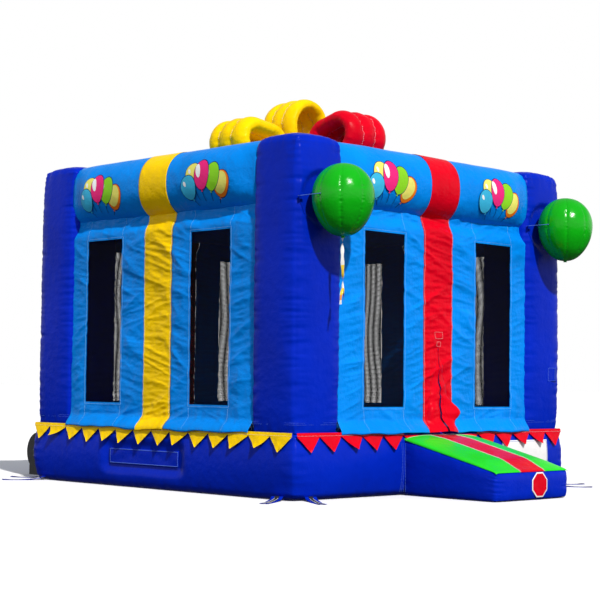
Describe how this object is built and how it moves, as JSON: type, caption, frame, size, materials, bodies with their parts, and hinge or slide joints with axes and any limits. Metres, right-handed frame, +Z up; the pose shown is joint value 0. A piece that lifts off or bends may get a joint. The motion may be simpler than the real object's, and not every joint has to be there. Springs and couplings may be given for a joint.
{
  "type": "inflatable bounce house",
  "caption": "Square inflatable bounce house with corner columns, net windows, a slit door, an entrance ramp, a roof bow, hanging balloons and a blower.",
  "frame": {"origin": "on the ground, under the middle of the square bed", "axes": "+Z up; the front with the door and ramp faces -Y; the left side, with the deflation zipper, faces -X"},
  "size_m": [5.5464, 6.814, 4.7388],
  "materials": {
    "royal_vinyl": "satin",
    "sky_vinyl": "satin",
    "yellow_vinyl": "satin",
    "red_vinyl": "satin",
    "green_vinyl": "gloss",
    "lime_red_stripes": "satin",
    "floor_vinyl": "satin",
    "net": "matte",
    "white_vinyl": "satin",
    "cord_white": "matte",
    "streamer_film": "gloss",
    "webbing": "matte",
    "zipper_nylon": "satin",
    "zipper_metal": "satin",
    "blower_plastic": "satin",
    "blower_metal": "satin",
    "steel": "satin"
  },
  "bodies": {
    "house": {"bounce_bed": "royal_vinyl", "column_front_left": "royal_vinyl", "column_front_right": "royal_vinyl", "column_rear_right": "royal_vinyl", "column_rear_left": "royal_vinyl", "ramp_body": "royal_vinyl", "anchor_tabs": "royal_vinyl", "bed_baffles": "royal_vinyl", "beam_front": "sky_vinyl", "beam_right": "sky_vinyl", "beam_rear": "sky_vinyl", "beam_left": "sky_vinyl", "wall_front": "sky_vinyl", "wall_right": "sky_vinyl", "wall_rear": "sky_vinyl", "wall_left": "sky_vinyl", "roof_sheet": "sky_vinyl", "roof_beams": "sky_vinyl", "bounce_floor": "floor_vinyl", "window_nets_front": "net", "window_nets_right": "net", "window_nets_rear": "net", "window_nets_left": "net", "wall_ribbon_front": "red_vinyl", "wall_ribbon_rear": "red_vinyl", "beam_ribbons_red": "red_vinyl", "pennants_red": "red_vinyl", "bow_loop_front": "red_vinyl", "bow_loop_rear": "red_vinyl", "ramp_octagon": "red_vinyl", "wall_ribbons_yellow": "yellow_vinyl", "beam_ribbons_yellow": "yellow_vinyl", "pennants_yellow": "yellow_vinyl", "bow_loop_left": "yellow_vinyl", "bow_loop_right": "yellow_vinyl", "bow_loop_centre": "yellow_vinyl", "ramp_stripes": "lime_red_stripes", "blank_patches": "white_vinyl", "zipper_tape": "zipper_nylon", "anchor_webbing": "webbing", "tube_strap": "webbing", "blower_housing_left": "blower_plastic", "blower_housing_right": "blower_plastic", "blower_cord_gland": "blower_plastic", "blower_nozzle": "blower_plastic", "blower_motor": "blower_metal", "blower_grille": "blower_metal", "inflation_tube": "royal_vinyl"},
    "door_flap_left": {"door_flap_left": "red_vinyl"},
    "door_flap_right": {"door_flap_right": "red_vinyl"},
    "balloon_left": {"balloon_left": "green_vinyl", "balloon_ties_left": "cord_white", "balloon_streamer": "streamer_film"},
    "balloon_right": {"balloon_right": "green_vinyl", "balloon_ties_right": "cord_white"},
    "zipper_cover": {"zipper_cover": "royal_vinyl"},
    "zipper_slider": {"zipper_slider": "zipper_metal"},
    "impeller": {"blower_impeller": "blower_plastic", "blower_shaft": "steel"},
    "switch": {"blower_switch": "blower_plastic"}
  },
  "joints": [
    {"name": "door_flap_left_hinge", "type": "hinge", "parent": "house", "child": "door_flap_left", "pos_m": [0, -2.255, 1.64], "axis": [-0.2565, 0, -0.9666], "range_deg": [0, 100]},
    {"name": "door_flap_right_hinge", "type": "hinge", "parent": "house", "child": "door_flap_right", "pos_m": [0, -2.255, 1.64], "axis": [-0.2565, 0, 0.9666], "range_deg": [0, 100]},
    {"name": "balloon_left_sway", "type": "hinge", "parent": "house", "child": "balloon_left", "pos_m": [-1.9465, -2.285, 3.1633], "axis": [0, 0, 1], "range_deg": [-10, 10], "deforming": ["balloon_ties_left"]},
    {"name": "balloon_right_sway", "type": "hinge", "parent": "house", "child": "balloon_right", "pos_m": [1.9465, -2.285, 3.1633], "axis": [0, 0, 1], "range_deg": [-10, 10], "deforming": ["balloon_ties_right"]},
    {"name": "zipper_cover_hinge", "type": "hinge", "parent": "house", "child": "zipper_cover", "pos_m": [-2.314, 0.1435, 0.4495], "axis": [0, 1, 0], "range_deg": [0, 110]},
    {"name": "zipper_slide", "type": "slide", "parent": "house", "child": "zipper_slider", "axis": [0, -1, 0], "range_m": [0, 1.1]},
    {"name": "impeller_spin", "type": "hinge", "parent": "house", "child": "impeller", "pos_m": [-1.625, 2.947, 0.3], "axis": [1, 0, 0], "continuous": true},
    {"name": "switch_rock", "type": "hinge", "parent": "house", "child": "switch", "pos_m": [-1.44, 3.077, 0.42], "axis": [0, 1, 0], "range_deg": [-10, 10]}
  ]
}
